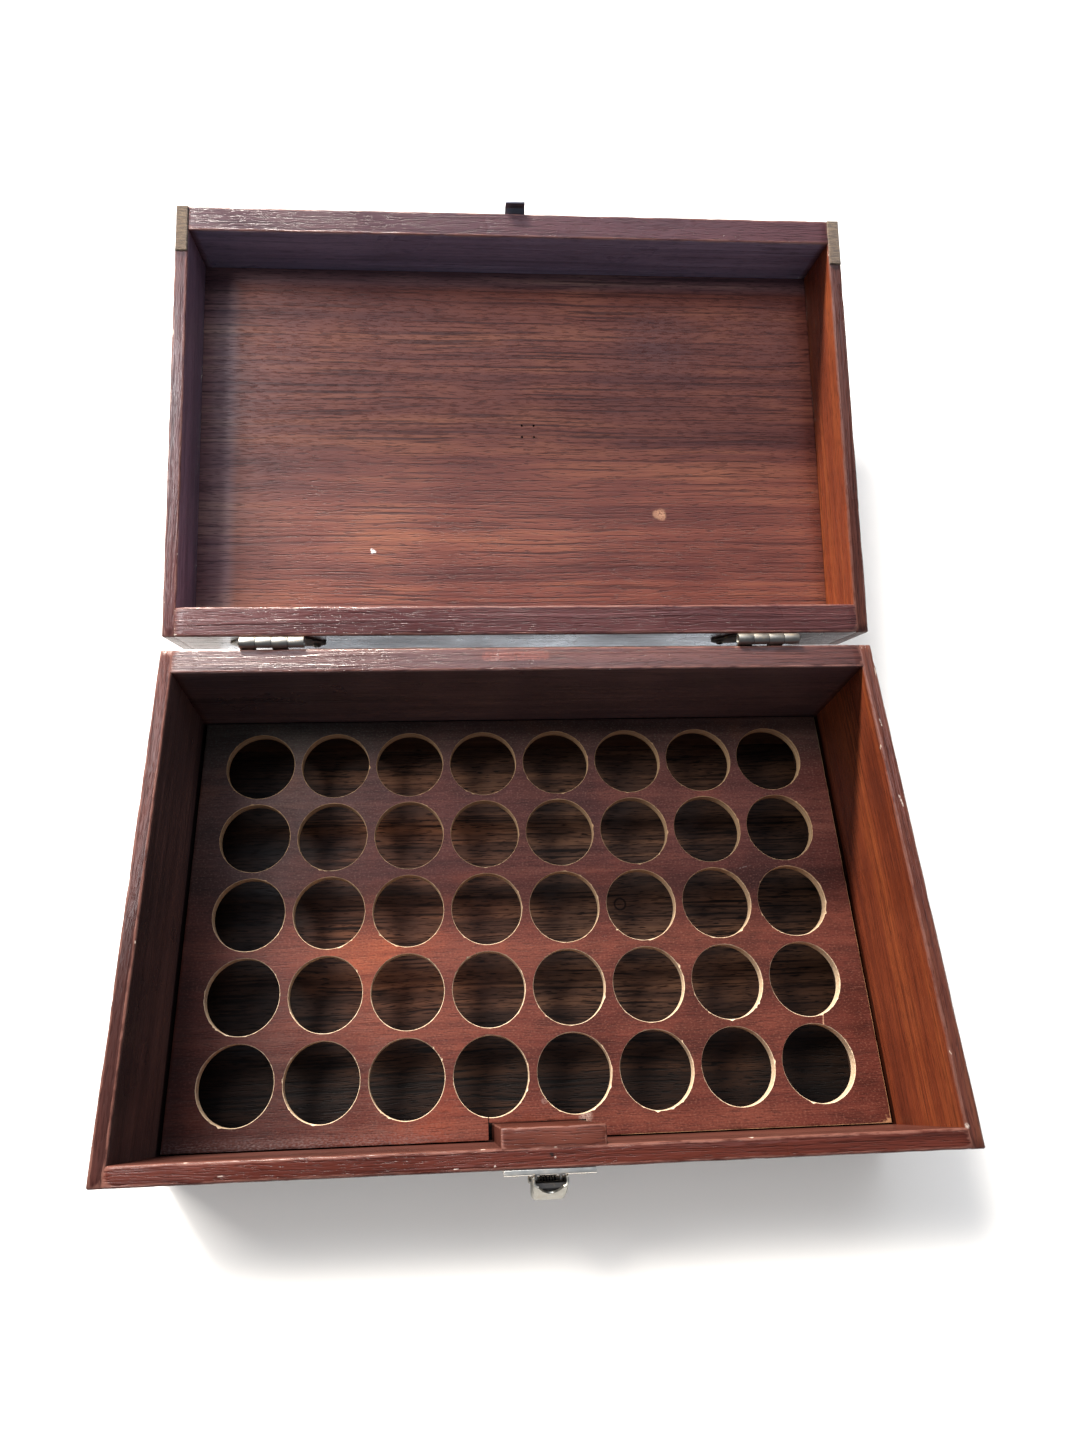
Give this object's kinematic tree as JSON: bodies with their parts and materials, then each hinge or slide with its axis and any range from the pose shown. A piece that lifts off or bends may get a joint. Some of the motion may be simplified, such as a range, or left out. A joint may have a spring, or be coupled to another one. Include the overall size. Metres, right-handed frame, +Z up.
{
  "type": "coin display tray",
  "caption": "Hinged wooden display box with a lift-out board of round holes above its floor, two butterfly hinges and a sprung front latch.",
  "frame": {"origin": "centre of the base's underside, on the surface it stands on", "axes": "+Z up, +Y from the latch towards the hinges, +X to the right of someone facing the latch; the lid is open at rest"},
  "size_m": [0.31, 0.4168, 0.1482],
  "materials": {
    "base_paint": "worn red-brown stain, satin",
    "lid_paint": "worn red-brown stain, satin",
    "lid_panel_stain": "red-brown stain with open grain",
    "board_paint": "red-brown paint, bare ply in the holes",
    "floor_stain": "dark brown stain with open grain",
    "bare_wood": "unfinished",
    "felt": "tan felt",
    "nickel": "nickel plated sheet, slightly dull",
    "spring_steel": "bright spring wire"
  },
  "bodies": {
    "base": {"base_front_wall": "base_paint", "base_back_wall": "base_paint", "base_left_wall": "base_paint", "base_right_wall": "base_paint", "base_floor": "floor_stain", "latch_backing_block": "base_paint", "batten_left": "bare_wood", "batten_right": "bare_wood", "batten_back": "bare_wood", "batten_front_left": "bare_wood", "batten_front_right": "bare_wood", "left_hinge_base_leaf": "nickel", "left_hinge_pin": "nickel", "left_hinge_base_screw_outer": "nickel", "left_hinge_base_screw_inner": "nickel", "right_hinge_base_leaf": "nickel", "right_hinge_pin": "nickel", "right_hinge_base_screw_outer": "nickel", "right_hinge_base_screw_inner": "nickel", "latch_plate": "nickel", "latch_pin": "nickel", "latch_screw_1": "nickel", "latch_screw_2": "nickel", "latch_screw_3": "nickel", "latch_screw_4": "nickel", "latch_spring": "spring_steel"},
    "lid": {"lid_front_wall": "lid_paint", "lid_back_wall": "lid_paint", "lid_left_wall": "lid_paint", "lid_right_wall": "lid_paint", "lid_panel": "lid_panel_stain", "lid_left_felt_pad": "felt", "lid_right_felt_pad": "felt", "left_hinge_lid_leaf": "nickel", "left_hinge_lid_screw_outer": "nickel", "left_hinge_lid_screw_inner": "nickel", "right_hinge_lid_leaf": "nickel", "right_hinge_lid_screw_outer": "nickel", "right_hinge_lid_screw_inner": "nickel", "lid_strike": "nickel", "strike_screw_1": "nickel", "strike_screw_2": "nickel"},
    "board": {"hole_board": "board_paint"},
    "lever": {"latch_lever": "nickel"}
  },
  "joints": [
    {"name": "lid_hinge", "type": "hinge", "parent": "base", "child": "lid", "pos_m": [0, 0.1028, 0.0856], "axis": [-1, 0, 0], "range_deg": [-163, 0]},
    {"name": "board_lift", "type": "slide", "parent": "base", "child": "board", "axis": [0, 0, 1], "range_m": [0, 0.056]},
    {"name": "latch_lever_pivot", "type": "hinge", "parent": "base", "child": "lever", "pos_m": [0, -0.1036, 0.074], "axis": [1, 0, 0], "range_deg": [0, 22], "stiffness_Nm_per_rad": 0.02, "springref_deg": -5.73}
  ]
}
